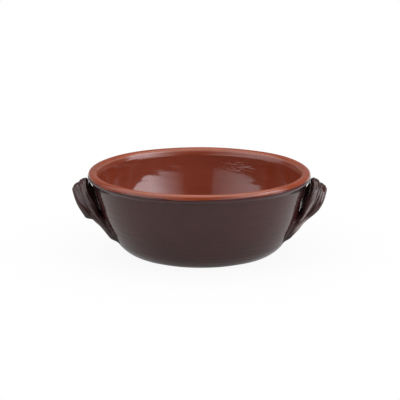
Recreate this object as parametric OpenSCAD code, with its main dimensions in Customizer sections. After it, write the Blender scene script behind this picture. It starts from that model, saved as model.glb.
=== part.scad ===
// Round terracotta baking dish with a rolled rim and two ear handles.
// Units are millimetres. The origin is the centre of the flat base, on the table.
// +Z is up, and the handles stand out along +X and -X.

/* [Bowl] */
// Outside diameter over the glazed rim
rim_diameter = 240; // [230:1:250]
// Height from the table to the top of the rim
dish_height = 90; // [86:1:95]
// Diameter of the flat base
base_diameter = 132; // [124:1:140]
// Radius of the heel, where the base turns into the wall
heel_radius = 32; // [28:1:35]
// Radius of the outward bow of the wall, seen in section
wall_bow_radius = 190; // [175:1:220]
// Thickness of the wall and the floor
wall_thickness = 7.5; // [6.5:0.5:8.5]

/* [Rim] */
// Radius of the roll at the outside of the rim
roll_radius = 4.8; // [4.4:0.1:5.2]
// How far the roll hangs out over the wall below it
roll_overhang = 4.4; // [4:0.1:4.8]
// Radius of the inner crest of the rim
crest_radius = 2; // [1.4:0.1:2.4]
// How far the inner crest lies below the top of the roll
crest_drop = 0.7; // [0.4:0.1:1]
// Width of the rim's top, from the inner crest to the outside
rim_width = 9.4; // [8.8:0.1:10]
// Depth of the sloping lip inside the rim, down to its crease
lip_depth = 7; // [6:0.5:8]

/* [Glaze] */
// Thickness of both glaze coats and of the slip joints
coat_thickness = 0.5; // [0.4:0.05:0.6]
// Height of the bare foot below the outer glaze
bare_foot = 3; // [2:0.5:5]
// Depth of the bare band of the rim above the outer glaze
bare_rim = 3.6; // [3.2:0.1:4.4]

/* [Handles] */
// Distance between the two roots of a handle, centre to centre
root_span = 58.8; // [56:0.2:60]
// Height at which the strap bends away from the wall
root_height = 41; // [39:0.5:43]
// Height of the lower tip of a root above the table
tail_height = 16.2; // [15:0.2:18]
// How far the middle of the strap stands out past the rim
strap_reach = 8.3; // [7.9:0.1:10]
// Depth of the strap's middle below the top of the rim, at the crown
strap_drop = 17.7; // [17.2:0.1:20]
// Width of the two-ribbed strap
strap_width = 20.8; // [19:0.2:22]
// Thickness of the strap over its ribs
strap_thickness = 10.6; // [9.6:0.1:11.2]
// Width of the neck, where the strap is pinched above its roots
neck_width = 9.2; // [8:0.1:10]
// Depth of the groove between the ribs, as a share of half the thickness
groove_share = 0.18; // [0.1:0.01:0.3]

/* [Hidden] */

$fn = 180;

terracotta = [0.66, 0.34, 0.24];
lining_red = [0.45, 0.18, 0.12];
brown_glaze = [0.22, 0.16, 0.15];
slip_clay = [0.42, 0.27, 0.20];

rim_r = rim_diameter / 2;
base_r = base_diameter / 2;

// Rim: centre of the roll, centre of the crest, and the height of the crease inside
roll_centre = [rim_r - coat_thickness - roll_radius, dish_height - roll_radius];
crest_top = dish_height - crest_drop;
crest_centre = [rim_r - rim_width + crest_radius, crest_top - crest_radius];
crease_z = dish_height - lip_depth;

// Wall: a circle that touches the heel circle from outside and passes through the neck under the roll
neck = [rim_r - roll_overhang, dish_height - 2 * roll_radius];
heel_centre = [base_r, heel_radius];
heel_to_neck = neck - heel_centre;
neck_distance = norm(heel_to_neck);
centre_distance = wall_bow_radius - heel_radius;
along = (centre_distance ^ 2 - wall_bow_radius ^ 2 + neck_distance ^ 2) / (2 * neck_distance);
across = sqrt(centre_distance ^ 2 - along ^ 2);
neck_way = heel_to_neck / neck_distance;
wall_centre = heel_centre + along * neck_way + across * [-neck_way.y, neck_way.x];

// Height at which heel and wall meet, on the surface grown outwards by grow
function join_z(grow) =
  wall_centre.y + (heel_centre.y - wall_centre.y) * (wall_bow_radius + grow) / centre_distance;

// Radius of the wall at height z, on the surface grown outwards by grow
function wall_r(z, grow = 0) =
  wall_centre.x + sqrt((wall_bow_radius + grow) ^ 2 - (z - wall_centre.y) ^ 2);

// Point beside the wall: at height z, this far towards the front, and this far proud of the wall
function by_wall(z, front, proud) = [sqrt((wall_r(z) + proud) ^ 2 - front ^ 2), -front, z];

// Strap: control points of its centre line from the tip of the tail to the crown,
// for the front half of the right handle
half_span = root_span / 2;
tail_spread = 4.2;
tail_length = 21.7;
tail_sink = 1.4;
tail_proud = 6.2;
leg_inset = 6.9;
leg_proud = 0.6;
elbow_inset = 3.1;
elbow_back = 10;
elbow_dip = 1.7;
arch_half = 18;
crown = [rim_r + strap_reach, 0, dish_height - strap_drop];
strap_path = [
  by_wall(tail_height, half_span + tail_spread, -tail_sink),
  by_wall(tail_height + tail_length, half_span, tail_proud),
  by_wall(root_height, half_span - leg_inset, leg_proud),
  [crown.x - elbow_back, elbow_inset - half_span, root_height - elbow_dip],
  [crown.x, -arch_half, crown.z],
  crown
];
// Point inside the loop, which the outer face of the strap looks away from
loop_middle = crown - [22.9, 0, 26.1];
// Shares of the way from the tip of the tail to the crown: where the tip is full, and between which
// each edge widens from the pinched neck to the full strap; the outer edge makes a shoulder there
tip_end = 0.1;
inner_widening = [0.53, 0.83];
outer_widening = [0.44, 0.667];
// Share of the full section that is left at the very tip
tip_share = 0.25;
// Turn of the strap about its centre line, in degrees, on the legs and at the crown
leg_twist = 6;
crown_twist = 4;
twist_change = [0.5, 0.9];
// Clay that thickens the legs on their inner side, and where it comes and goes on the way to the crown
leg_padding = 8.8;
padding_rise = [0.11, 0.23];
padding_fall = [0.48, 0.63];
// Section: depth of the inner side as a share of the outer side's, powers that round the edges and
// flatten the ribbed face, and width of the groove as a share of half the strap's width
inner_share = 0.69;
edge_power = 0.7;
face_power = 0.43;
groove_width = 0.24;
strap_steps = 60;
root_steps = 15;
section_points = 28;

function unit(v) = v / norm(v);
function mix(a, b, t) = a + (b - a) * t;
function smooth(t) = let (s = min(1, max(0, t))) s * s * (3 - 2 * s);
function ramp(q, from, to) = smooth((q - from) / (to - from));
function steps(p) = [for (i = [0 : len(p) - 2]) p[i + 1] - p[i]];
function bezier(t, p) =
  len(p) == 1 ? p[0] : bezier(t, [for (i = [0 : len(p) - 2]) mix(p[i], p[i + 1], t)]);

// Point of the strap's section at angle turn: x runs across the strap to its outer edge, y out of its
// outer face; halves holds the half widths to the inner and outer edge, depths those to the inner and
// outer face, and open is 0 at the round neck and 1 where the strap is full
function section_point(turn, halves, depths, open) =
  let (
    c = cos(turn),
    s = sin(turn),
    groove = open * groove_share * exp(-(c / groove_width) ^ 2),
    ribs = abs(s) ^ mix(edge_power, face_power, open) - groove,
    round_side = abs(s) ^ edge_power
  )
  [c * (c > 0 ? halves[1] : halves[0]), s >= 0 ? depths[1] * ribs : -depths[0] * round_side];

// One ring of points around the strap: v runs from -1 at the front tail to 1 at the rear tail
function strap_ring(v) =
  let (
    q = 1 - abs(v),
    way = v <= 0 ? 1 : -1,
    p = bezier(q, strap_path),
    d = bezier(q, steps(strap_path)),
    middle = [p.x, way * p.y, p.z],
    ahead = unit([way * d.x, d.y, way * d.z]),
    from_loop = middle - loop_middle,
    away = unit(from_loop - ahead * (from_loop * ahead)),
    aside = cross(ahead, away),
    twist = mix(leg_twist, crown_twist, ramp(q, twist_change[0], twist_change[1])),
    out = cos(twist) * away - sin(twist) * aside,
    wide = cos(twist) * aside + sin(twist) * away,
    inner_open = ramp(q, inner_widening[0], inner_widening[1]),
    outer_open = ramp(q, outer_widening[0], outer_widening[1]),
    tip = mix(tip_share, 1, ramp(q, 0, tip_end)),
    halves = [for (o = [inner_open, outer_open]) tip * mix(neck_width, strap_width, o) / 2],
    outer_depth = tip * strap_thickness / 2,
    padded = ramp(q, padding_rise[0], padding_rise[1]) * (1 - ramp(q, padding_fall[0], padding_fall[1])),
    depths = [inner_share * outer_depth + leg_padding * padded, outer_depth]
  )
  [
    for (k = [0 : section_points - 1])
      let (s = section_point(360 * k / section_points, halves, depths, min(inner_open, outer_open)))
        middle + wide * s.x + out * s.y
  ];

// Solid stretch of the right handle's strap between two of its rings
module strap(first, last) {
  rings = [for (i = [first : last]) strap_ring(2 * i / strap_steps - 1)];
  n = section_points;
  count = len(rings);
  sides = [
    for (i = [0 : count - 2], k = [0 : n - 1])
      let (a = i * n + k, b = i * n + (k + 1) % n)
        each [[a, b, b + n], [a, b + n, a + n]]
  ];
  caps = [
    [for (k = [n - 1 : -1 : 0]) k],
    [for (k = [0 : n - 1]) (count - 1) * n + k]
  ];
  polyhedron(points = [for (r = rings) each r], faces = concat(sides, caps), convexity = 6);
}

module whole_strap() strap(0, strap_steps);
module front_root() strap(0, root_steps);
module rear_root() strap(strap_steps - root_steps, strap_steps);

// Area inside the bowl's outer surface grown outwards by grow, up to height top
module bowl_area(grow, top) {
  z = join_z(grow);
  translate([0, -grow]) square([base_r, z + grow]);
  intersection() {
    translate(heel_centre) circle(r = heel_radius + grow);
    translate([base_r, -grow]) square([heel_radius + grow, z + grow]);
  }
  intersection() {
    translate(wall_centre) circle(r = wall_bow_radius + grow);
    translate([0, z]) square([rim_r, top - z]);
  }
}

// Area of the rim: outer roll, inner crest, and the sloping lip down to the crease
module rim_area() {
  crease = [wall_r(crease_z, -wall_thickness), crease_z];
  to_crest = crest_centre - crease;
  tangent = atan2(to_crest.y, to_crest.x) + asin(crest_radius / norm(to_crest));
  lip_top = crest_centre + crest_radius * [-sin(tangent), cos(tangent)];
  translate(roll_centre) circle(r = roll_radius);
  translate(crest_centre) circle(r = crest_radius);
  polygon([
    crease, [roll_centre.x, crease_z], [roll_centre.x, dish_height],
    [crest_centre.x, crest_top], lip_top
  ]);
}

module body_area() {
  difference() {
    bowl_area(0, crease_z);
    bowl_area(-wall_thickness, dish_height);
  }
  rim_area();
}

// Area of the outer coat, which also covers the lower half of the roll
module coat_area() {
  intersection() {
    difference() {
      union() {
        bowl_area(coat_thickness, crease_z);
        translate(roll_centre) circle(r = roll_radius + coat_thickness);
      }
      bowl_area(0, dish_height);
      translate(roll_centre) circle(r = roll_radius);
    }
    translate([base_r, bare_foot]) square([rim_r, dish_height - bare_rim - bare_foot]);
  }
}

module outer_coat() rotate_extrude() coat_area();

module bowl_body() {
  color(terracotta) rotate_extrude() body_area();
}

module inner_glaze() {
  color(lining_red) rotate_extrude() difference() {
    bowl_area(-wall_thickness, crease_z);
    bowl_area(-wall_thickness - coat_thickness, dish_height);
  }
}

module outer_glaze() {
  color(brown_glaze) difference() {
    outer_coat();
    for (side = [0, 180]) rotate(side) {
      front_root();
      rear_root();
    }
  }
}

module right_strap() {
  difference() {
    whole_strap();
    rotate_extrude() bowl_area(coat_thickness, crease_z);
  }
}

module left_handle() {
  color(brown_glaze) rotate(180) right_strap();
}

module right_handle() {
  color(brown_glaze) right_strap();
}

module left_front_slip() {
  color(slip_clay) intersection() {
    outer_coat();
    rotate(180) rear_root();
  }
}

module left_rear_slip() {
  color(slip_clay) intersection() {
    outer_coat();
    rotate(180) front_root();
  }
}

module right_front_slip() {
  color(slip_clay) intersection() {
    outer_coat();
    front_root();
  }
}

module right_rear_slip() {
  color(slip_clay) intersection() {
    outer_coat();
    rear_root();
  }
}

bowl_body();
inner_glaze();
outer_glaze();
left_handle();
right_handle();
left_front_slip();
left_rear_slip();
right_front_slip();
right_rear_slip();
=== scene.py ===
"""Looks of a glazed terracotta baking dish: thrown bowl, rolled rim, brown coat and two ear handles."""

import math

import bpy
import numpy as np
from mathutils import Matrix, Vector


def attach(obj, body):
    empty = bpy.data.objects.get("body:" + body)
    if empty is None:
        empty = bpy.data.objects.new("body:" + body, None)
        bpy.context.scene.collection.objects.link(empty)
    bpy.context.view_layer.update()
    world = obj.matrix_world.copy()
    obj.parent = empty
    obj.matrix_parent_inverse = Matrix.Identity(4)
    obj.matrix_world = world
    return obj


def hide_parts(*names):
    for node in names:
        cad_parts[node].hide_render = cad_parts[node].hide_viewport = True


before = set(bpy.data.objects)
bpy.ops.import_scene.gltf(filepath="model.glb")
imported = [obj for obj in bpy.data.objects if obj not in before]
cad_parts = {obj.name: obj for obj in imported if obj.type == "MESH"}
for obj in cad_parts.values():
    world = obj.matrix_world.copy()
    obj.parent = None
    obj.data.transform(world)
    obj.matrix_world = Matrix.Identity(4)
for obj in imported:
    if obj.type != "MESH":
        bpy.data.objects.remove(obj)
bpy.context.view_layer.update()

MM = 0.001

# Section of the bowl, in millimetres, the same values as the solids
RIM_R = 120.0
DISH_HEIGHT = 90.0
BASE_R = 66.0
HEEL_RADIUS = 32.0
WALL_BOW = 190.0
WALL = 7.5
ROLL_RADIUS = 4.8
ROLL_OVERHANG = 4.4
CREST_RADIUS = 2.0
RIM_WIDTH = 9.4
CREST_DROP = 0.7
LIP_DEPTH = 7.0
COAT = 0.5
BARE_FOOT = 3.0
BARE_RIM = 3.6
# Where the roll's arc starts, in degrees, and how far the corners of the section are softened
ROLL_START = -80
SOFT_CORNER = 0.55

ROLL_CENTRE = np.array([RIM_R - COAT - ROLL_RADIUS, DISH_HEIGHT - ROLL_RADIUS])
CREST_CENTRE = np.array([RIM_R - RIM_WIDTH + CREST_RADIUS, DISH_HEIGHT - CREST_DROP - CREST_RADIUS])
HEEL_CENTRE = np.array([BASE_R, HEEL_RADIUS])
NECK = np.array([RIM_R - ROLL_OVERHANG, DISH_HEIGHT - 2 * ROLL_RADIUS])
CREASE_Z = DISH_HEIGHT - LIP_DEPTH

# Columns round the bowl, and spacing along the sections of bowl, coat and lining
BOWL_COLUMNS = 320
BOWL_SPACING = 0.9
COAT_SPACING = 0.8
LINING_SPACING = 0.9

# Hand-made unevenness: sideways moves of the left side, in millimetres, at these heights
UNEVEN_HEIGHTS = (0.0, 8.0, 30.0, 62.0, 85.0)
UNEVEN_MOVES = (2.2, 2.2, 1.3, -0.5, -1.4)
# Throwing rings of rim, coat and lining: their distance, their height in millimetres, and a seed
RIM_RINGS = (3.2, 0.05, 21)
COAT_RINGS = (5.5, 0.035, 31)
LINING_RINGS = (6.5, 0.005, 41)
# How far the rings wander, in radians
RING_WANDER = 1.4
# Heights of the random waves on the rim and in the glazes
RIM_DRIFT = 0.10
COAT_SWELL = 0.10
LINING_SWELL = 0.05
GLAZE_RIPPLE = 0.012

# Bowl: heights between which the waves of the rim begin
RIM_WAVES_RISE = (60.0, 85.0)
# Clay is bare below this height, on faces whose normal rises by less than this
BARE_TOP = 8.0
BARE_FACING_UP = 0.2
# Painted highlight: a pale line along the inner crest, its place, its width and its share
CREST_LINE = CREST_CENTRE - np.array([2.2, 0])
CREST_LINE_WIDTH = 0.9
CREST_HIGHLIGHT = 0.6
# A darker tone on the lip below that line: its share, the width of its upper edge, and the heights from the
# crease between which it begins
DARK_LIP = 0.7
LIP_EDGE = 0.8
LIP_RISE = (-12.0, -8.0)

# Depth of the skins that close coat and lining inside the clay
SHELL_BED = 0.3
# Coat: how far its edges wander, the lengths over which they thin out, and how far they sink into clay
COAT_RIM_WANDER = 0.315
COAT_FOOT_WANDER = 0.54
COAT_RIM_FADE = (0.4, 2.0)
COAT_FOOT_FADE = 2.2
EDGE_SINK = 0.12
# Share of the warmer thin tone at the coat's edges, and its width
THIN_AT_RIM = (0.75, 1.6)
THIN_AT_FOOT = (0.5, 1.5)
# Painted shade behind the handles, a nearly black glaze tone where the handles shade the wall: its share,
# its height, its reach in degrees and millimetres, and the shares of that reach between which it fades
SHADE_BEHIND_HANDLES = 0.8
SHADE_MIDDLE = 68.0
SHADE_SIZE = (27.0, 36.0)
SHADE_FADE = (0.55, 1.15)
# The same painted shade in the corner under the roll: its top, its depth near the handle, the angle from
# the side at which it begins, the angle over which it deepens, and how softly it ends below and above
CORNER_TOP = 80.4
CORNER_DEPTH = 5.4
CORNER_REACH = 41.0
CORNER_SPREAD = 19.0
CORNER_SOFT = 0.8
CORNER_END = (0.4, 0.8)

# Lining: its face above the clay line and at its edge, the depth of the bed below it, the height over which
# the bed begins, the lengths over which its edge rises, and the radii over which its waves rise
LINING_FACE = 0.16
LINING_EDGE = 0.04
LINING_BED = 0.35
BED_RISE = 4.0
LINING_EDGE_RISE = (-0.5, 5.5)
LINING_WAVES_RISE = (8.0, 38.0)
# A wrinkled run in the lining, at this azimuth in degrees and this height, and how far it reaches
RUN_AZIMUTH = 64.0
RUN_HEIGHT = 73.0
RUN_SIZE = (11.0, 5.0)

# Handle, in millimetres, the same values as the solids
ROOT_SPAN = 58.8
ROOT_HEIGHT = 41.0
TAIL_HEIGHT = 16.2
STRAP_REACH = 8.3
STRAP_DROP = 17.7
STRAP_WIDTH = 20.8
STRAP_THICKNESS = 10.6
NECK_WIDTH = 9.2
TAIL_SPREAD = 4.2
TAIL_LENGTH = 21.7
TAIL_SINK = 1.4
TAIL_PROUD = 6.2
LEG_INSET = 6.9
LEG_PROUD = 0.6
LEG_PADDING = 8.8
ELBOW_INSET = 3.1
ELBOW_BACK = 10.0
ELBOW_DIP = 1.7
ARCH_HALF = 18.0
LOOP_BACK = 22.9
LOOP_DROP = 26.1
# Fillet where a handle meets the wall, which the solids don't have
ROOT_FILLET = 3.0
# Turn of the strap about its centre line, in degrees
LEG_TWIST = 6.0
CROWN_TWIST = 4.0
# Shares of the way from the tip of the tail to the crown, between which the strap changes; where a value
# differs between the handles, 1 is the right one and -1 the left one
TIP_END = 0.1
INNER_WIDENING = (0.43, 0.645)
INNER_FLARE = (0.82, 1.0)
OUTER_WIDENING = {1: (0.45, 0.69), -1: (0.465, 0.575)}
FACE_OPENING = (0.15, 0.5)
TWIST_CHANGE = (0.5, 0.9)
PADDING_RISE = (0.11, 0.23)
PADDING_FALL = (0.48, 0.63)
# Shares of the full widening: at the inner edge in two steps, and at the outer edge
INNER_STEPS = (0.75, 0.22)
OUTER_FULL = {1: 0.89, -1: 1.0}
# Section of the strap: shares of its depth or half width, and powers that round it
TIP_SHARE = 0.25
INNER_SHARE = 0.69
EDGE_POWER = 0.7
FACE_POWER = 0.52
GROOVE = 0.18
GROOVE_WIDTH = 0.24
# Drag lines and lumps of the pulled clay: height in millimetres and seed, over a strap of this length
DRAG_LINES = (0.09, 51)
LUMPS = (0.16, 61)
STRAP_LENGTH = 150.0
# How much warmer the thin glaze on the ribs is, where along the strap that begins, and the place and width
# of the ribs
THIN_RIBS = {1: 0.13, -1: 0.10}
THIN_RISE = (0.5, 0.8)
RIB_PLACE = 0.5
RIB_WIDTH = 0.16
# Painted highlight: how strong the pale streaks of painted reflection on each strap are; for each streak
# its place across the strap, half its width, and the shares of the way between which it fades in and out
STREAK_HIGHLIGHT = {1: 0.9, -1: 0.2}
HIGHLIGHT_STREAKS = (((-0.30, 0.15), (0.3, 0.45), (0.55, 0.9)), ((0.5, 0.4), (0.12, 0.24), (0.38, 0.54)))
# Rings along a strap, and points round it
STRAP_RINGS = 220
STRAP_POINTS = 84

# Tones of clay and glaze: two between which a tone clouds, or one that is mixed in
RIM_TONES = ((0.22, 0.038, 0.0115), (0.26, 0.046, 0.0145))
LIP_TONE = (0.165, 0.030, 0.0135)
# Painted highlight along the inner crest
CREST_HIGHLIGHT_TONE = (0.42, 0.19, 0.15)
FOOT_TONES = ((0.42, 0.16, 0.085), (0.52, 0.24, 0.14))
SCUFF_TONE = (0.60, 0.36, 0.25)
LINING_TONES = ((0.17, 0.031, 0.014), (0.20, 0.038, 0.018))
COAT_TONES = ((0.044, 0.0112, 0.0112), (0.055, 0.0140, 0.0140))
HANDLE_TONES = ((0.030, 0.0120, 0.0115), (0.040, 0.0155, 0.0150))
THIN_TONE = (0.15, 0.036, 0.022)
# Painted highlight: the pale tone of the streaks along the straps
PAINTED_HIGHLIGHT_TONE = (0.36, 0.30, 0.29)
# Painted shade: the tone behind the handles and under the roll
PAINTED_SHADE_TONE = (0.012, 0.0045, 0.0045)
SLIP_TONES = ((0.20, 0.09, 0.05), (0.34, 0.17, 0.10))
# Specular level of the brown glaze, and of its painted shade, where the reflection is taken out too
BROWN_SHEEN = 0.4
PAINTED_SHADE_SHEEN = 0.04

# Studio: tints of the panels at the sides and above, and their strengths at shares of their width
SIDE_TINT = (1.0, 0.965, 1.015)
TOP_TINT = (1.0, 0.97, 0.9)
RIGHT_STRENGTHS = [(0.0, 0.2), (0.3, 2.2), (0.62, 6.0), (1.0, 5.0)]
LEFT_STRENGTHS = [(0.0, 0.7), (0.35, 2.0), (0.55, 2.6), (0.83, 1.8), (1.0, 1.3)]
TOP_STRENGTHS = [(0.0, 2.3), (1.0, 2.3)]
# Grid, distance and middle of the panels bent round the dish, and place of the flat one above, in metres
PANEL_COLUMNS = 25
PANEL_ROWS = 9
PANEL_DISTANCE = 1.4
PANEL_MIDDLE = 0.06
TOP_PANEL_X = (-1.2, 1.2)
TOP_PANEL_Y = (-0.9, 1.0)
TOP_PANEL_Z = 1.4
# Floor: its span in metres, and its grey
FLOOR_SPAN = (-8.0, 8.0)
FLOOR_GREY = (0.55, 0.55, 0.55, 1)
# White part of the floor as seen: from and to these distances in metres, it rises between these two shares
FLOOR_GLOW_SEEN = (0.10, 0.26, 0.93, 1.0)
# The same in the glazes, over the distance to the right
FLOOR_GLOW_IN_GLAZE = (0.10, 0.26, 0.4, 0.95)
# Level of the dim room, and how white the backdrop is in the glazes, over the way to the rear
ROOM_LEVEL = 0.12
BACKDROP_IN_GLAZE = [(0.4, 0.0), (0.7, 0.15)]

# Camera at the photograph's viewing angle: metres, degrees and millimetres
CAMERA_DISTANCE = 1.7
CAMERA_ELEVATION = 14.40
AIM_LIFT = 0.358
LENS = 140.5
SENSOR_WIDTH = 36.0


# Soft steps
def smooth(t):
    """Soft step from 0 to 1 while t goes from 0 to 1."""
    t = np.clip(t, 0, 1)
    return t * t * (3 - 2 * t)


def change(q, limits):
    """Soft change from 0 to 1 between two limits."""
    return smooth((q - limits[0]) / (limits[1] - limits[0]))


# Section lines
def wall_circle():
    """Centre of the circle that the wall follows: it touches the heel and passes through the neck."""
    to_neck = NECK - HEEL_CENTRE
    distance = np.linalg.norm(to_neck)
    reach = WALL_BOW - HEEL_RADIUS
    along = (reach**2 - WALL_BOW**2 + distance**2) / (2 * distance)
    across = math.sqrt(reach**2 - along**2)
    way = to_neck / distance
    return HEEL_CENTRE + along * way + across * np.array([-way[1], way[0]])


WALL_CENTRE = wall_circle()


def wall_r(z, grow=0.0):
    """Radius of the wall's outer surface at a height, or of one parallel to it."""
    return WALL_CENTRE[0] + np.sqrt((WALL_BOW + grow) ** 2 - (z - WALL_CENTRE[1]) ** 2)


def arc(centre, radius, start, end, count=60):
    """Points on an arc between two angles in degrees."""
    turn = np.radians(np.linspace(start, end, count))
    return np.stack([centre[0] + radius * np.cos(turn), centre[1] + radius * np.sin(turn)], 1)


def angle_of(centre, point):
    """Angle in degrees at which a point lies from a centre."""
    return math.degrees(math.atan2(point[1] - centre[1], point[0] - centre[0]))


def lengths(points):
    """Length along a line up to each of its points."""
    steps = np.linalg.norm(np.diff(points, axis=0), axis=1)
    return np.concatenate([[0], np.cumsum(steps)])


def resample(points, spacing):
    """The same line with points at an even spacing."""
    s = lengths(points)
    count = max(2, int(round(s[-1] / spacing)) + 1)
    at = np.linspace(0, s[-1], count)
    return np.stack([np.interp(at, s, points[:, 0]), np.interp(at, s, points[:, 1])], 1)


def soften(points, radius, spacing=0.15):
    """Rounds the corners of a line by averaging it over a short length; its ends stay."""
    fine = resample(points, spacing)
    half = int(3 * radius / spacing)
    weights = np.exp(-0.5 * (np.arange(-half, half + 1) * spacing / radius) ** 2)
    weights /= weights.sum()
    first = 2 * fine[0] - fine[half:0:-1]
    last = 2 * fine[-1] - fine[-2 : -half - 2 : -1]
    padded = np.concatenate([first, fine, last])
    return np.stack([np.convolve(padded[:, i], weights, "valid") for i in (0, 1)], 1)


def left_normals(points):
    """Unit normals to the left of the way along a line."""
    d = np.gradient(points, axis=0)
    d /= np.linalg.norm(d, axis=1)[:, None]
    return np.stack([-d[:, 1], d[:, 0]], 1)


def outside_line():
    """Clay's outer surface, from the middle of the base to the top of the roll."""
    join = angle_of(WALL_CENTRE, HEEL_CENTRE)
    return np.concatenate(
        [
            [[0.0, 0.0], [BASE_R, 0.0]],
            arc(HEEL_CENTRE, HEEL_RADIUS, -90, join)[1:],
            arc(WALL_CENTRE, WALL_BOW, join, angle_of(WALL_CENTRE, NECK))[1:],
            arc(ROLL_CENTRE, ROLL_RADIUS, ROLL_START, 90)[1:],
        ]
    )


def inside_line():
    """Clay's inner surface, from the crest of the rim to the middle of the floor."""
    crease = np.array([wall_r(CREASE_Z, -WALL), CREASE_Z])
    to_crest = CREST_CENTRE - crease
    lean = math.atan2(to_crest[1], to_crest[0]) + math.asin(CREST_RADIUS / np.linalg.norm(to_crest))
    join = angle_of(WALL_CENTRE, HEEL_CENTRE)
    return np.concatenate(
        [
            arc(CREST_CENTRE, CREST_RADIUS, 90, 90 + math.degrees(lean)),
            arc(WALL_CENTRE, WALL_BOW - WALL, angle_of(WALL_CENTRE, crease), join),
            arc(HEEL_CENTRE, HEEL_RADIUS - WALL, join, -90)[1:],
            [[0.0, WALL]],
        ]
    )


CLAY_LINE = soften(np.concatenate([outside_line(), inside_line()]), SOFT_CORNER)
TOP_INDEX = int(np.argmax(CLAY_LINE[:, 1]))


# Random waves of hand-made clay and glaze
def per_mm(wavelength):
    """Radians of a wave for each millimetre."""
    return 2 * math.pi / wavelength


def waves(count, turns, rises, seed):
    """A seamless field of random waves over the angle round a piece and the length along it."""
    draw = np.random.default_rng(seed)
    turn = draw.integers(turns[0], turns[1] + 1, count)
    rise = draw.uniform(rises[0], rises[1], count) * draw.choice([-1, 1], count)
    phase = draw.uniform(0, 2 * math.pi, count)

    def field(theta, s):
        total = np.zeros(np.broadcast(theta, s).shape)
        for i in range(count):
            total = total + np.cos(turn[i] * theta + rise[i] * s + phase[i])
        return total / math.sqrt(count / 2)

    return field


swell = waves(count=14, turns=(1, 7), rises=(per_mm(160), per_mm(45)), seed=11)
ripple = waves(count=26, turns=(4, 30), rises=(per_mm(40), per_mm(9)), seed=12)
drift = waves(count=10, turns=(1, 9), rises=(0.0, per_mm(60)), seed=13)


def throwing_rings(theta, s, rings):
    """Finger lines of throwing: a spiral of uneven ridges."""
    pitch, height, seed = rings
    uneven = waves(count=8, turns=(0, 2), rises=(per_mm(50), per_mm(14)), seed=seed + 1)
    phase = np.random.default_rng(seed).uniform(0, 2 * math.pi)
    return height * np.cos(per_mm(pitch) * s + theta + RING_WANDER * uneven(theta, s) + phase)


def uneven_side(verts_mm):
    """Throwing left the left side less true: wider at the rim and narrower near the foot."""
    x, z = verts_mm[:, 0], verts_mm[:, 2]
    share = 1 - change(x, (-RIM_R, RIM_R))
    moved = verts_mm.copy()
    moved[:, 0] += share * np.interp(z, UNEVEN_HEIGHTS, UNEVEN_MOVES)
    return moved


# Mesh helpers
def new_mesh(name, verts_mm, faces, mat, rounded=True):
    """Piece of the dish from points in millimetres, on the part's one body."""
    mesh = bpy.data.meshes.new(name)
    mesh.from_pydata((uneven_side(verts_mm) * MM).tolist(), [], faces)
    mesh.polygons.foreach_set("use_smooth", [rounded] * len(mesh.polygons))
    mesh.materials.append(mat)
    mesh.validate()
    obj = bpy.data.objects.new(name, mesh)
    bpy.context.scene.collection.objects.link(obj)
    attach(obj, "root")
    return obj


def give(obj, name, values):
    """Stores one number for each vertex, for the materials."""
    attribute = obj.data.attributes.new(name, "FLOAT", "POINT")
    attribute.data.foreach_set("value", np.asarray(values, np.float32).ravel())


def tube_faces(rows, columns):
    """Faces between closed rings of points, as lists of four corners."""
    i, j = np.meshgrid(np.arange(rows - 1), np.arange(columns), indexing="ij")
    a, b = i * columns + j, i * columns + (j + 1) % columns
    return np.stack([a, b, b + columns, a + columns], -1).reshape(-1, 4).tolist()


def revolve(line, offset):
    """Skin turned from a section line; offset(theta, s) moves its points along the line's normals."""
    normals = left_normals(line)
    s = lengths(line)
    theta = np.linspace(0, 2 * math.pi, BOWL_COLUMNS, endpoint=False)
    move = offset(theta[None, :], s[:, None])
    r = line[:, 0, None] + normals[:, 0, None] * move
    z = line[:, 1, None] + normals[:, 1, None] * move
    verts = np.stack([r * np.cos(theta), r * np.sin(theta), z], -1).reshape(-1, 3)
    return verts, tube_faces(len(line), BOWL_COLUMNS)


def close_ring(verts, faces, ring, way):
    """Closes the ring that starts at a vertex with a point on the axis; way, 1 or -1, turns the faces."""
    tip = len(verts)
    for j in range(BOWL_COLUMNS):
        edge = [ring + j, ring + (j + 1) % BOWL_COLUMNS]
        faces.append([tip] + edge[::way])
    return np.concatenate([verts, [verts[ring : ring + BOWL_COLUMNS].mean(0)]])


def shell(line, offset, to_axis):
    """Thin closed shell: a face by offset, a skin inside the clay, and faces that join their edges."""
    verts, faces = revolve(line, offset)
    inner, inner_faces = revolve(line, lambda theta, s: SHELL_BED + 0 * theta + 0 * s)
    last = len(verts) - BOWL_COLUMNS
    if to_axis:
        verts = close_ring(verts, faces, last, 1)
        inner = close_ring(inner, inner_faces, last, 1)
    base = len(verts)
    faces += [[base + i for i in reversed(f)] for f in inner_faces]
    for j in range(BOWL_COLUMNS):
        k = (j + 1) % BOWL_COLUMNS
        faces.append([j, base + j, base + k, k])
        if not to_axis:
            faces.append([last + j, last + k, base + last + k, base + last + j])
    return np.concatenate([verts, inner]), faces


# Material helpers
def material(name):
    """New material, with its node tree and its shader."""
    m = bpy.data.materials.new(name)
    m.use_nodes = True
    tree = m.node_tree
    shader = tree.nodes["Principled BSDF"]
    return m, tree, shader


def add(tree, kind, **values):
    """A node with some of its sockets or properties set."""
    node = tree.nodes.new(kind)
    for key, value in values.items():
        if key in node.inputs:
            node.inputs[key].default_value = value
        else:
            setattr(node, key, value)
    return node


def position(tree, scale):
    """Object position stretched by a scale for each axis."""
    coords = add(tree, "ShaderNodeTexCoord")
    mapping = add(tree, "ShaderNodeMapping", Scale=scale)
    tree.links.new(coords.outputs["Object"], mapping.inputs["Vector"])
    return mapping.outputs["Vector"]


def noise(tree, scale, detail=4.0, roughness=0.55, stretch=(1, 1, 1)):
    """Noise over the object position."""
    node = add(tree, "ShaderNodeTexNoise", Scale=scale, Detail=detail, Roughness=roughness)
    tree.links.new(position(tree, stretch), node.inputs["Vector"])
    return node.outputs["Fac"]


def stored(tree, name):
    """Number that give() stored for the vertices."""
    return add(tree, "ShaderNodeAttribute", attribute_name=name).outputs["Fac"]


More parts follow.
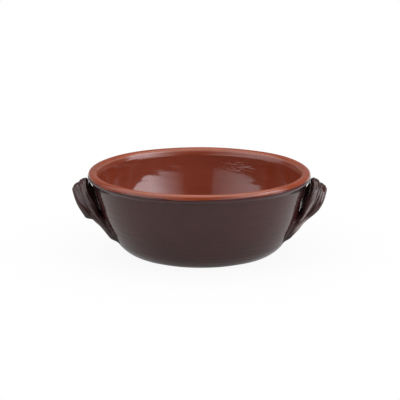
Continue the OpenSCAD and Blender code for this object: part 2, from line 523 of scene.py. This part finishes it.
def ramp(tree, source, stops):
    """Colours or grey levels over a source value."""
    node = add(tree, "ShaderNodeValToRGB")
    elements = node.color_ramp.elements
    while len(elements) < len(stops):
        elements.new(0.5)
    for element, (at, colour) in zip(elements, stops):
        element.position = at
        element.color = (*colour, 1) if isinstance(colour, tuple) else (colour, colour, colour, 1)
    tree.links.new(source, node.inputs["Fac"])
    return node.outputs["Color"]


def blend(tree, kind, factor, a, b):
    """Mixes two colours; each value may be a socket, and the factor may be a number."""
    node = add(tree, "ShaderNodeMix", data_type="RGBA", blend_type=kind)
    for value, index in ((factor, 0), (a, 6), (b, 7)):
        socket = node.inputs[index]
        if isinstance(value, bpy.types.NodeSocket):
            tree.links.new(value, socket)
        else:
            socket.default_value = (*value, 1) if isinstance(value, tuple) else value
    return node.outputs[2]


def bump(tree, shader, layers):
    """Chains height fields of (socket, depth in metres, strength) into the shader's normal."""
    last = None
    for height, depth, strength in layers:
        node = add(tree, "ShaderNodeBump", Distance=depth)
        if isinstance(strength, bpy.types.NodeSocket):
            tree.links.new(strength, node.inputs["Strength"])
        else:
            node.inputs["Strength"].default_value = strength
        tree.links.new(height, node.inputs["Height"])
        if last is not None:
            tree.links.new(last, node.inputs["Normal"])
        last = node.outputs["Normal"]
    tree.links.new(last, shader.inputs["Normal"])


# Materials of the dish
def clay_under_glaze():
    """Rim: red clay under a thin clear glaze."""
    m, tree, shader = material("rim_clay")
    cloud = noise(tree, 60.0, 3.0)
    tone = ramp(tree, cloud, [(0.3, RIM_TONES[0]), (0.7, RIM_TONES[1])])
    lines = noise(tree, 1.0, 3.0, stretch=(14, 14, 700))
    tone = blend(tree, "MULTIPLY", 0.35, tone, ramp(tree, lines, [(0.35, 0.72), (0.62, 1.0)]))
    # Darker tone on the lip and painted highlight on the crest
    for name, shade in (("lip", LIP_TONE), ("crest", CREST_HIGHLIGHT_TONE)):
        tone = blend(tree, "MIX", stored(tree, name), tone, shade)
    grain = noise(tree, 1500.0, 2.0)
    tone = blend(tree, "MULTIPLY", 0.2, tone, ramp(tree, grain, [(0.32, 0.6), (0.5, 1.0)]))
    tree.links.new(tone, shader.inputs["Base Color"])
    gloss = ramp(tree, noise(tree, 220.0), [(0.3, 0.18), (0.7, 0.24)])
    tree.links.new(gloss, shader.inputs["Roughness"])
    grooves = noise(tree, 1.0, 2.0, stretch=(30, 30, 900))
    bump(tree, shader, [(grain, 0.00002, 0.2), (grooves, 0.00006, 0.3)])
    return m


def bare_clay():
    """Foot and base: unglazed fired clay."""
    m, tree, shader = material("bare_clay")
    cloud = noise(tree, 45.0, 5.0)
    tone = ramp(tree, cloud, [(0.3, FOOT_TONES[0]), (0.7, FOOT_TONES[1])])
    grain = noise(tree, 1100.0, 3.0)
    tone = blend(tree, "MULTIPLY", 0.5, tone, ramp(tree, grain, [(0.3, 0.5), (0.55, 1.0)]))
    scuff = noise(tree, 1.0, 4.0, stretch=(60, 420, 60))
    tone = blend(tree, "MIX", ramp(tree, scuff, [(0.56, 0.0), (0.72, 0.5)]), tone, SCUFF_TONE)
    tree.links.new(tone, shader.inputs["Base Color"])
    shader.inputs["Roughness"].default_value = 0.88
    bump(tree, shader, [(grain, 0.0002, 0.7), (cloud, 0.0006, 0.4)])
    return m


def lining_glaze():
    """Inside: clear gloss glaze over red clay."""
    m, tree, shader = material("lining_glaze")
    cloud = noise(tree, 26.0, 4.0)
    tone = ramp(tree, cloud, [(0.3, LINING_TONES[0]), (0.72, LINING_TONES[1])])
    lines = noise(tree, 1.0, 3.0, stretch=(9, 9, 420))
    tone = blend(tree, "MULTIPLY", 0.35, tone, ramp(tree, lines, [(0.36, 0.78), (0.62, 1.0)]))
    specks = noise(tree, 900.0, 1.0)
    tone = blend(tree, "MULTIPLY", 0.6, tone, ramp(tree, specks, [(0.26, 0.45), (0.33, 1.0)]))
    tree.links.new(tone, shader.inputs["Base Color"])
    gloss = ramp(tree, noise(tree, 140.0), [(0.3, 0.05), (0.75, 0.11)])
    tree.links.new(gloss, shader.inputs["Roughness"])
    peel = noise(tree, 260.0, 2.0)
    wrinkles = noise(tree, 170.0, 1.0, stretch=(1, 1, 2.8))
    bump(tree, shader, [(peel, 0.00003, 0.6), (wrinkles, 0.0006, stored(tree, "run"))])
    return m


def brown_glaze(name, tones, with_painted_shade):
    """Outside: dark brown satin gloss glaze, warmer where it runs thin, paler in painted highlight streaks,
    and nearly black with little reflection in painted shade.
    """
    m, tree, shader = material(name)
    cloud = noise(tree, 38.0, 5.0)
    tone = ramp(tree, cloud, [(0.3, tones[0]), (0.7, tones[1])])
    lines = noise(tree, 1.0, 3.0, stretch=(10, 10, 380))
    tone = blend(tree, "MULTIPLY", 0.4, tone, ramp(tree, lines, [(0.36, 0.7), (0.62, 1.0)]))
    tone = blend(tree, "MIX", stored(tree, "thin"), tone, THIN_TONE)
    # Painted highlight: pale streaks along the straps
    tone = blend(tree, "MIX", stored(tree, "painted_highlight"), tone, PAINTED_HIGHLIGHT_TONE)
    shader.inputs["Specular IOR Level"].default_value = BROWN_SHEEN
    # Painted shade: a nearly black tone and little reflection behind the handles and under the roll
    if with_painted_shade:
        painted_shade = stored(tree, "painted_shade")
        tone = blend(tree, "MIX", painted_shade, tone, PAINTED_SHADE_TONE)
        sheen = ramp(tree, painted_shade, [(0.0, BROWN_SHEEN), (1.0, PAINTED_SHADE_SHEEN)])
        tree.links.new(sheen, shader.inputs["Specular IOR Level"])
    tree.links.new(tone, shader.inputs["Base Color"])
    peel = noise(tree, 420.0, 2.0)
    gloss = ramp(tree, noise(tree, 90.0, 4.0), [(0.3, 0.09), (0.72, 0.14)])
    tree.links.new(gloss, shader.inputs["Roughness"])
    bump(tree, shader, [(peel, 0.00002, 0.4), (cloud, 0.0001, 0.2)])
    return m


def slip_clay():
    """Luting slip between wall and handle."""
    m, tree, shader = material("luting_slip")
    cloud = noise(tree, 300.0, 4.0)
    tone = ramp(tree, cloud, [(0.3, SLIP_TONES[0]), (0.7, SLIP_TONES[1])])
    tree.links.new(tone, shader.inputs["Base Color"])
    shader.inputs["Roughness"].default_value = 0.8
    bump(tree, shader, [(cloud, 0.0002, 0.6)])
    return m


RIM_CLAY = clay_under_glaze()
BARE_CLAY = bare_clay()
LINING = lining_glaze()
COAT_BROWN = brown_glaze("coat_brown_glaze", COAT_TONES, with_painted_shade=True)
HANDLE_BROWN = brown_glaze("handle_brown_glaze", HANDLE_TONES, with_painted_shade=False)
SLIP = slip_clay()


# Bowl and its glazes
def make_bowl():
    """Clay body with the rim and the bare foot showing."""
    line = resample(CLAY_LINE[1:-1], BOWL_SPACING)
    x, z = line[:, 0], line[:, 1]
    inside = np.arange(len(line)) > np.argmax(z)

    def uneven(theta, s):
        high = change(z, RIM_WAVES_RISE)[:, None]
        covered = (inside * smooth((CREASE_Z - z) / BED_RISE))[:, None]
        rim = throwing_rings(theta, s, RIM_RINGS) + RIM_DRIFT * drift(theta, s)
        return LINING_BED * covered - high * rim * (1 - covered)

    verts, faces = revolve(line, uneven)
    last = len(verts) - BOWL_COLUMNS
    verts = close_ring(verts, faces, 0, -1)
    verts = close_ring(verts, faces, last, 1)
    bowl = new_mesh("bowl", verts, faces, RIM_CLAY)
    bowl.data.materials.append(BARE_CLAY)
    for polygon in bowl.data.polygons:
        if polygon.center.z < BARE_TOP * MM and polygon.normal.z < BARE_FACING_UP:
            polygon.material_index = 1
    # Painted highlight along the crest, and the darker tone on the lip
    crest = CREST_HIGHLIGHT * np.exp(-((np.linalg.norm(line - CREST_LINE, axis=1) / CREST_LINE_WIDTH) ** 2))
    lip = DARK_LIP * inside * smooth((CREST_LINE[0] - x) / LIP_EDGE) * change(z - CREASE_Z, LIP_RISE)
    for name, values in (("crest", crest), ("lip", lip)):
        give(bowl, name, np.concatenate([np.repeat(values, BOWL_COLUMNS), [0, 0]]))
    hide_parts("bowl_body")


def edge_tone(z):
    """Share of the warm thin tone at the upper and lower edges of the coat."""
    rim_share, rim_width = THIN_AT_RIM
    foot_share, foot_width = THIN_AT_FOOT
    coat_top = DISH_HEIGHT - BARE_RIM
    at_rim = smooth((z - coat_top) / rim_width + 1)
    at_foot = smooth((BARE_FOOT - z) / foot_width + 1)
    return rim_share * at_rim + foot_share * at_foot


def painted_shade_share(points):
    """Share of the painted shade behind the handles and in the corner under the roll."""
    z = points[:, 2]
    from_side = np.degrees(np.arctan2(np.abs(points[:, 1]), np.abs(points[:, 0])))
    far = np.hypot(from_side / SHADE_SIZE[0], (z - SHADE_MIDDLE) / SHADE_SIZE[1])
    behind = SHADE_BEHIND_HANDLES * (1 - change(far, SHADE_FADE))
    deep = np.clip((CORNER_REACH - from_side) / CORNER_SPREAD, 0, 1)
    corner_low = CORNER_TOP - CORNER_DEPTH * deep
    under_roll = smooth((z - corner_low) / CORNER_SOFT) * (1 - change(z - CORNER_TOP, CORNER_END))
    return np.maximum(behind, under_roll * (from_side < CORNER_REACH))


def make_coat():
    """Brown glaze coat on the outside, thin at its edges."""
    outer_z = CLAY_LINE[:TOP_INDEX, 1]
    low = int(np.argmax(outer_z > BARE_FOOT))
    high = int(np.flatnonzero(outer_z < DISH_HEIGHT - BARE_RIM)[-1])
    line = resample(CLAY_LINE[low : high + 1], COAT_SPACING)

    def thickness(theta, s):
        edge = drift(theta, 0 * s)
        from_rim = change(s.max() - s + COAT_RIM_WANDER * edge, COAT_RIM_FADE)
        from_foot = smooth((s + COAT_FOOT_WANDER * edge) / COAT_FOOT_FADE)
        full = from_rim * from_foot
        rings = throwing_rings(theta, s, COAT_RINGS)
        body = COAT + rings + COAT_SWELL * swell(theta, s) + GLAZE_RIPPLE * ripple(theta, s)
        return -(body * full - EDGE_SINK * (1 - full))

    points, faces = shell(line, thickness, to_axis=False)
    coat = new_mesh("coat", points, faces, COAT_BROWN)
    give(coat, "thin", edge_tone(points[:, 2]))
    # Painted shade behind the handles and under the roll
    give(coat, "painted_shade", painted_shade_share(points))
    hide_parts("outer_glaze")


def make_lining():
    """Clear glaze lining on the inside, with the waves of a thick glossy glaze."""
    after_top = np.arange(TOP_INDEX, len(CLAY_LINE))
    first = int(after_top[CLAY_LINE[after_top, 1] < CREASE_Z][0])
    line = resample(CLAY_LINE[first:-1], LINING_SPACING)

    def thickness(theta, s):
        from_edge = change(s, LINING_EDGE_RISE)
        middle = change(line[:, 0], LINING_WAVES_RISE)[:, None]
        rings = throwing_rings(theta, s, LINING_RINGS)
        uneven = rings + LINING_SWELL * swell(theta, s) + GLAZE_RIPPLE * ripple(theta, s)
        body = LINING_FACE + middle * uneven
        return -(body * from_edge + LINING_EDGE * (1 - from_edge))

    points, faces = shell(line, thickness, to_axis=True)
    lining = new_mesh("lining", points, faces, LINING)
    aside = (np.degrees(np.arctan2(points[:, 1], points[:, 0])) - RUN_AZIMUTH) / RUN_SIZE[0]
    up = (points[:, 2] - RUN_HEIGHT) / RUN_SIZE[1]
    give(lining, "run", np.exp(-(aside**2) - up**2))
    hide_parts("inner_glaze")


# Handles
def by_wall(z, front, proud):
    """Point beside the wall: at height z, this far towards the front, and this far proud of the wall."""
    return np.array([math.sqrt((wall_r(z) + proud) ** 2 - front**2), -front, z])


HALF_SPAN = ROOT_SPAN / 2
CROWN = np.array([RIM_R + STRAP_REACH, 0, DISH_HEIGHT - STRAP_DROP])
STRAP_PATH = np.array(
    [
        by_wall(TAIL_HEIGHT, HALF_SPAN + TAIL_SPREAD, -TAIL_SINK),
        by_wall(TAIL_HEIGHT + TAIL_LENGTH, HALF_SPAN, TAIL_PROUD),
        by_wall(ROOT_HEIGHT, HALF_SPAN - LEG_INSET, LEG_PROUD),
        [CROWN[0] - ELBOW_BACK, ELBOW_INSET - HALF_SPAN, ROOT_HEIGHT - ELBOW_DIP],
        [CROWN[0], -ARCH_HALF, CROWN[2]],
        CROWN,
    ]
)
LOOP_MIDDLE = CROWN - np.array([LOOP_BACK, 0, LOOP_DROP])
# Places of the strap's rings, from -1 at the front tip over 0 at the crown to 1 at the rear tip, their
# share of the way from a tip to the crown, and the angles of the points round a ring
RING_PLACES = np.linspace(-1, 1, STRAP_RINGS)
RING_SHARES = 1 - np.abs(RING_PLACES)
RING_TURN = np.linspace(0, 2 * math.pi, STRAP_POINTS, endpoint=False)


def bezier(t, points):
    """Points of a Bezier curve at the shares t of its way."""
    level = [np.repeat(p[None, :], len(t), 0) for p in points]
    while len(level) > 1:
        level = [a + (b - a) * t[:, None] for a, b in zip(level, level[1:])]
    return level[0]


def units(v):
    """The same vectors with length 1."""
    return v / np.linalg.norm(v, axis=-1, keepdims=True)


def strap_frame():
    """Middle of the strap at each ring, and the directions across its width and out of its face."""
    way = np.where(RING_PLACES <= 0, 1.0, -1.0)
    p = bezier(RING_SHARES, STRAP_PATH)
    d = bezier(RING_SHARES, np.diff(STRAP_PATH, axis=0))
    middle = np.stack([p[:, 0], way * p[:, 1], p[:, 2]], 1)
    ahead = units(np.stack([way * d[:, 0], d[:, 1], way * d[:, 2]], 1))
    from_loop = middle - LOOP_MIDDLE
    away = units(from_loop - ahead * (from_loop * ahead).sum(1)[:, None])
    aside = np.cross(ahead, away)
    turned = LEG_TWIST + (CROWN_TWIST - LEG_TWIST) * change(RING_SHARES, TWIST_CHANGE)
    twist = np.radians(turned)[:, None]
    out = np.cos(twist) * away - np.sin(twist) * aside
    wide = np.cos(twist) * aside + np.sin(twist) * away
    return middle, wide, out


def strap_points(side):
    """Rings of points round the strap, from the front tail over the crown to the rear tail."""
    q = RING_SHARES
    middle, wide, out = strap_frame()
    inner_open = INNER_STEPS[0] * change(q, INNER_WIDENING) + INNER_STEPS[1] * change(q, INNER_FLARE)
    outer_open = OUTER_FULL[side] * change(q, OUTER_WIDENING[side])
    opened = change(q, FACE_OPENING)[:, None]
    tip = TIP_SHARE + (1 - TIP_SHARE) * smooth(q / TIP_END)
    inner_half = tip * (NECK_WIDTH + (STRAP_WIDTH - NECK_WIDTH) * inner_open) / 2
    outer_half = tip * (NECK_WIDTH + (STRAP_WIDTH - NECK_WIDTH) * outer_open) / 2
    outer_depth = (tip * STRAP_THICKNESS / 2)[:, None]
    padding = LEG_PADDING * change(q, PADDING_RISE) * (1 - change(q, PADDING_FALL))
    inner_depth = INNER_SHARE * outer_depth + padding[:, None]
    c, s = np.cos(RING_TURN), np.sin(RING_TURN)
    groove = opened * GROOVE * np.exp(-((c / GROOVE_WIDTH) ** 2))
    ribs = np.abs(s) ** (EDGE_POWER + (FACE_POWER - EDGE_POWER) * opened) - groove
    round_side = np.abs(s) ** EDGE_POWER
    across = np.where(c > 0, outer_half[:, None], inner_half[:, None]) * c
    up = np.where(s >= 0, outer_depth * ribs, -inner_depth * round_side)
    return middle[:, None] + wide[:, None] * across[..., None] + out[:, None] * up[..., None]


def above_coat(points):
    """Height of points above the outer coat, and the coat's normal below them."""
    rho = np.hypot(points[..., 0], points[..., 1])
    flat = np.stack([rho, points[..., 2]], -1)
    to_wall = flat - WALL_CENTRE
    far = np.linalg.norm(to_wall, axis=-1)
    height = far - WALL_BOW - COAT
    n = to_wall / far[..., None]
    normal = np.stack([n[..., 0] * points[..., 0] / rho, n[..., 0] * points[..., 1] / rho, n[..., 1]], -1)
    return height, normal


def ring_normals(points, tiny=1e-9):
    """Outward unit normals of a tube of rings."""
    along = np.gradient(points, axis=0)
    around = np.roll(points, -1, 1) - np.roll(points, 1, 1)
    n = np.cross(along, around)
    n /= np.maximum(np.linalg.norm(n, axis=-1, keepdims=True), tiny)
    centre = points.mean(1, keepdims=True)
    if ((points - centre) * n).sum() < 0:
        n = -n
    return n


def flare(points):
    """Spreads the foot of a strap over the wall in a hollow fillet."""
    height, wall_normal = above_coat(points)
    normal = ring_normals(points)
    side = normal - wall_normal * (normal * wall_normal).sum(-1, keepdims=True)
    share = np.clip(1 - height / ROOT_FILLET, 0, 1)
    push = ROOT_FILLET * (1 - np.sqrt(1 - share**2))
    return points + side * push[..., None]


def pulled_clay(points, side):
    """Drag lines and lumps on a strap, other ones on each side."""
    s = np.linspace(0, STRAP_LENGTH, STRAP_RINGS)[:, None]
    theta = RING_TURN[None, :]
    drag_height, drag_seed = DRAG_LINES
    lump_height, lump_seed = LUMPS
    drag = waves(count=10, turns=(5, 16), rises=(0.0, per_mm(90)), seed=drag_seed + side)
    lumps = waves(count=10, turns=(1, 4), rises=(per_mm(70), per_mm(18)), seed=lump_seed + side)
    move = drag_height * drag(theta, s) + lump_height * lumps(theta, s)
    return points + ring_normals(points) * move[..., None]


def on_face(across, place, half):
    """Share of a line along the strap's outer face: 1 at a place across it, and 0 on the inner side."""
    line = np.exp(-(((across - place) / half) ** 2))
    return np.where(np.sin(RING_TURN) > 0, line, 0)[None, :]


def make_handle(name, side, node):
    """Pulled two-ribbed strap bent to an ear, its ends spread on the wall."""
    points = flare(pulled_clay(strap_points(side), side))
    if side < 0:
        points = points * np.array([-1, -1, 1])
    faces = tube_faces(STRAP_RINGS, STRAP_POINTS)
    first_ring = list(range(STRAP_POINTS))
    faces.append(first_ring[::-1])
    faces.append([(STRAP_RINGS - 1) * STRAP_POINTS + k for k in first_ring])
    handle = new_mesh(name, points.reshape(-1, 3), faces, HANDLE_BROWN)
    across = np.cos(RING_TURN)
    q = RING_SHARES[:, None]
    ribs = on_face(np.abs(across), RIB_PLACE, RIB_WIDTH)
    give(handle, "thin", THIN_RIBS[side] * ribs * change(q, THIN_RISE))
    # Painted highlight: pale streaks along the strap, stronger on the right one
    highlight_share = np.zeros((STRAP_RINGS, STRAP_POINTS))
    for (place, half), fade_in, fade_out in HIGHLIGHT_STREAKS:
        highlight_share += on_face(across, place, half) * change(q, fade_in) * (1 - change(q, fade_out))
    give(handle, "painted_highlight", STREAK_HIGHLIGHT[side] * highlight_share)
    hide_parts(node)


def make_slip(name, node):
    """Luting slip under one handle end: the solid's own shape, moved with the uneven side."""
    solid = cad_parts[node]
    verts = np.array([solid.matrix_world @ v.co for v in solid.data.vertices]) / MM
    faces = [list(f.vertices) for f in solid.data.polygons]
    pad = new_mesh(name, verts, faces, SLIP, rounded=False)
    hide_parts(node)


make_bowl()
make_coat()
make_lining()
make_handle("right_ear", 1, "right_handle")
make_handle("left_ear", -1, "left_handle")
for end in ("left_front", "left_rear", "right_front", "right_rear"):
    make_slip(end + "_pad", end + "_slip")


# Studio
def stage_mesh(name, grid, mat):
    """Studio surface from a grid of points, mapped 0 to 1 along and across it."""
    rows, columns = grid.shape[:2]
    i, j = np.meshgrid(np.arange(rows - 1), np.arange(columns - 1), indexing="ij")
    a = (i * columns + j).ravel()
    faces = np.stack([a, a + 1, a + columns + 1, a + columns], 1)
    mesh = bpy.data.meshes.new(name)
    mesh.from_pydata(grid.reshape(-1, 3).tolist(), [], faces.tolist())
    share = np.stack(np.meshgrid(np.linspace(0, 1, columns), np.linspace(0, 1, rows)), -1).reshape(-1, 2)
    uv = mesh.uv_layers.new(name="UVMap")
    uv.data.foreach_set("uv", share[faces.ravel()].ravel())
    mesh.materials.append(mat)
    obj = bpy.data.objects.new(name, mesh)
    bpy.context.scene.collection.objects.link(obj)
    return obj


def flat_grid(x, y, z):
    """Four corners of a level rectangle."""
    return np.array([[(u, v, z) for u in x] for v in y])


def mirrored_rays(tree, path):
    """1 for the rays that show the surroundings in a glaze, and 0 for others."""
    node = add(tree, "ShaderNodeMath", operation="MAXIMUM")
    tree.links.new(path.outputs["Is Glossy Ray"], node.inputs[0])
    tree.links.new(path.outputs["Is Transmission Ray"], node.inputs[1])
    return node.outputs[0]


def map_range(tree, source, limits):
    """Source value mapped from the first two limits to the last two."""
    node = add(tree, "ShaderNodeMapRange")
    for socket, value in zip(node.inputs[1:5], limits):
        socket.default_value = value
    tree.links.new(source, node.inputs["Value"])
    return node.outputs["Result"]


def floor_material():
    """White sweep: shown white to the camera and in the glazes, with a soft part of the dish's shadow."""
    m, tree, shader = material("white_floor")
    shader.inputs["Base Color"].default_value = FLOOR_GREY
    shader.inputs["Roughness"].default_value = 0.9
    shader.inputs["Specular IOR Level"].default_value = 0.0
    glow = add(tree, "ShaderNodeEmission", Color=(1, 1, 1, 1), Strength=1.0)
    path = add(tree, "ShaderNodeLightPath")
    coords = add(tree, "ShaderNodeTexCoord")
    split = add(tree, "ShaderNodeSeparateXYZ")
    tree.links.new(coords.outputs["Object"], split.inputs[0])
    away = add(tree, "ShaderNodeVectorMath", operation="LENGTH")
    tree.links.new(coords.outputs["Object"], away.inputs[0])
    in_glaze = add(tree, "ShaderNodeMath", operation="MULTIPLY")
    tree.links.new(mirrored_rays(tree, path), in_glaze.inputs[0])
    tree.links.new(map_range(tree, split.outputs["X"], FLOOR_GLOW_IN_GLAZE), in_glaze.inputs[1])
    share = add(tree, "ShaderNodeMath", operation="MULTIPLY_ADD")
    tree.links.new(path.outputs["Is Camera Ray"], share.inputs[0])
    tree.links.new(map_range(tree, away.outputs["Value"], FLOOR_GLOW_SEEN), share.inputs[1])
    tree.links.new(in_glaze.outputs[0], share.inputs[2])
    mix = add(tree, "ShaderNodeMixShader")
    tree.links.new(share.outputs[0], mix.inputs[0])
    tree.links.new(shader.outputs[0], mix.inputs[1])
    tree.links.new(glow.outputs[0], mix.inputs[2])
    tree.links.new(mix.outputs[0], tree.nodes["Material Output"].inputs["Surface"])
    return m


def glowing(name, strengths, tint):
    """Light of a panel: its strength at shares of its width, and its colour."""
    m, tree, shader = material(name)
    tree.nodes.remove(shader)
    strongest = max(strength for _, strength in strengths)
    coords = add(tree, "ShaderNodeTexCoord")
    split = add(tree, "ShaderNodeSeparateXYZ")
    tree.links.new(coords.outputs["UV"], split.inputs[0])
    level = ramp(tree, split.outputs["X"], [(at, strength / strongest) for at, strength in strengths])
    glow = add(tree, "ShaderNodeEmission", Strength=strongest)
    tinted = blend(tree, "MULTIPLY", 1.0, level, tint)
    tree.links.new(tinted, glow.inputs["Color"])
    tree.links.new(glow.outputs[0], tree.nodes["Material Output"].inputs["Surface"])
    return m


def softbox(name, grid, strengths, tint):
    """Glowing panel that the camera doesn't see."""
    panel = stage_mesh(name, grid, glowing(name, strengths, tint))
    panel.visible_camera = False


def bent_grid(azimuths, heights):
    """Panel bent round the dish, between azimuths from the camera and heights over the floor in degrees."""
    azimuth = np.radians(np.linspace(*azimuths, PANEL_COLUMNS))[None, :]
    height = np.radians(np.linspace(*heights, PANEL_ROWS))[:, None]
    x, y = np.sin(azimuth) * np.cos(height), -np.cos(azimuth) * np.cos(height)
    ray = np.stack([x, y, np.sin(height) + 0 * azimuth], -1)
    return PANEL_DISTANCE * ray + np.array([0, 0, PANEL_MIDDLE])


def make_world():
    """Dim room with a paler backdrop in the glazes; white where the camera looks into it."""
    world = bpy.data.worlds.new("studio")
    bpy.context.scene.world = world
    world.use_nodes = True
    tree = world.node_tree
    coords = add(tree, "ShaderNodeTexCoord")
    split = add(tree, "ShaderNodeSeparateXYZ")
    tree.links.new(coords.outputs["Generated"], split.inputs[0])
    backdrop = ramp(tree, split.outputs["Y"], BACKDROP_IN_GLAZE)
    path = add(tree, "ShaderNodeLightPath")
    in_glaze = blend(tree, "MULTIPLY", 1.0, backdrop, mirrored_rays(tree, path))
    white = blend(tree, "LIGHTEN", 1.0, in_glaze, path.outputs["Is Camera Ray"])
    level = blend(tree, "MIX", white, (ROOM_LEVEL, ROOM_LEVEL, ROOM_LEVEL), (1.0, 1.0, 1.0))
    tree.links.new(level, tree.nodes["Background"].inputs["Color"])


def make_camera():
    """Camera in front of the dish, aimed a little above its middle."""
    elevation = math.radians(CAMERA_ELEVATION)
    data = bpy.data.cameras.new("camera")
    data.lens = LENS
    data.sensor_width = SENSOR_WIDTH
    camera = bpy.data.objects.new("camera", data)
    bpy.context.scene.collection.objects.link(camera)
    middle = Vector((0, 0, DISH_HEIGHT * MM / 2))
    camera.location = middle + CAMERA_DISTANCE * Vector((0, -math.cos(elevation), math.sin(elevation)))
    camera.rotation_euler = (math.radians(90 - CAMERA_ELEVATION + AIM_LIFT), 0, 0)
    bpy.context.scene.camera = camera


stage_mesh("floor", flat_grid(FLOOR_SPAN, FLOOR_SPAN, 0), floor_material())
softbox("right_softbox", bent_grid(azimuths=(21, 97), heights=(15.5, 42)), RIGHT_STRENGTHS, SIDE_TINT)
softbox("left_softbox", bent_grid(azimuths=(-17, -117), heights=(14, 42)), LEFT_STRENGTHS, SIDE_TINT)
softbox("top_softbox", flat_grid(TOP_PANEL_X, TOP_PANEL_Y, TOP_PANEL_Z), TOP_STRENGTHS, TOP_TINT)
make_world()
make_camera()
bpy.context.scene.view_settings.view_transform = "Standard"
